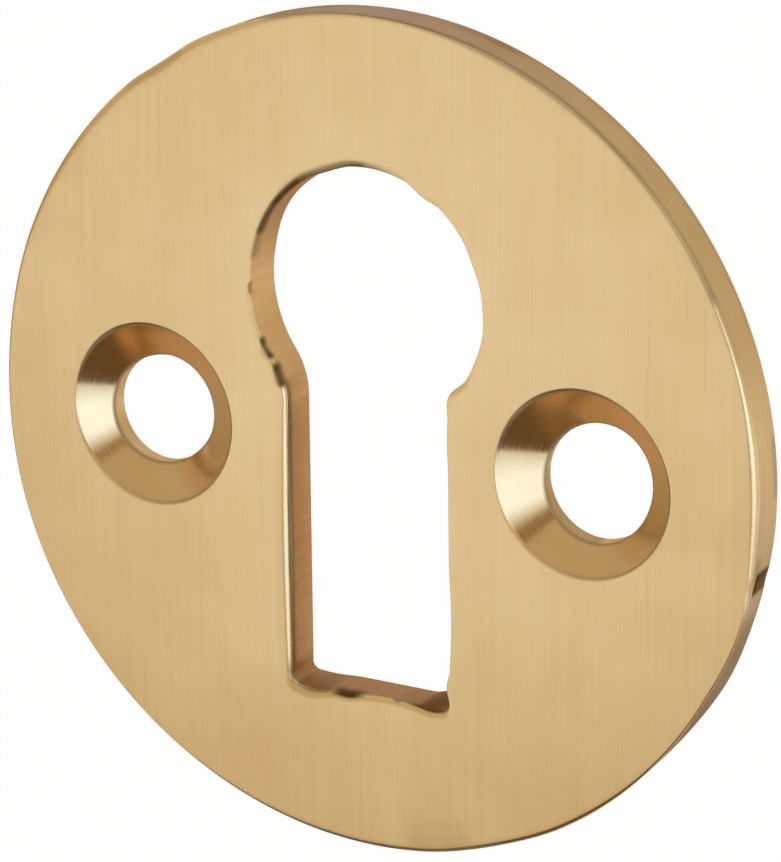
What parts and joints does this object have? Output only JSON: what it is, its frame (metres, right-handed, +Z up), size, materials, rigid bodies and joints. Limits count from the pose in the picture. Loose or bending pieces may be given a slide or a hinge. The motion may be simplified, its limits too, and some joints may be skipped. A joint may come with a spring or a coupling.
{
  "type": "keyhole escutcheon",
  "caption": "Round flat brass plate with a keyhole cut through it and countersunk screw holes, fixed over a lock to guard and dress the keyhole.",
  "frame": {"origin": "on the back face, midway between the two screw holes", "axes": "+X to the right and +Z up as the plate is fixed on a door, -Y out of the face towards the viewer"},
  "size_m": [0.032, 0.0018, 0.032],
  "materials": {
    "brass": "satin, finely brushed up and down"
  },
  "bodies": {
    "root": {"escutcheon_plate": "brass"}
  },
  "joints": []
}
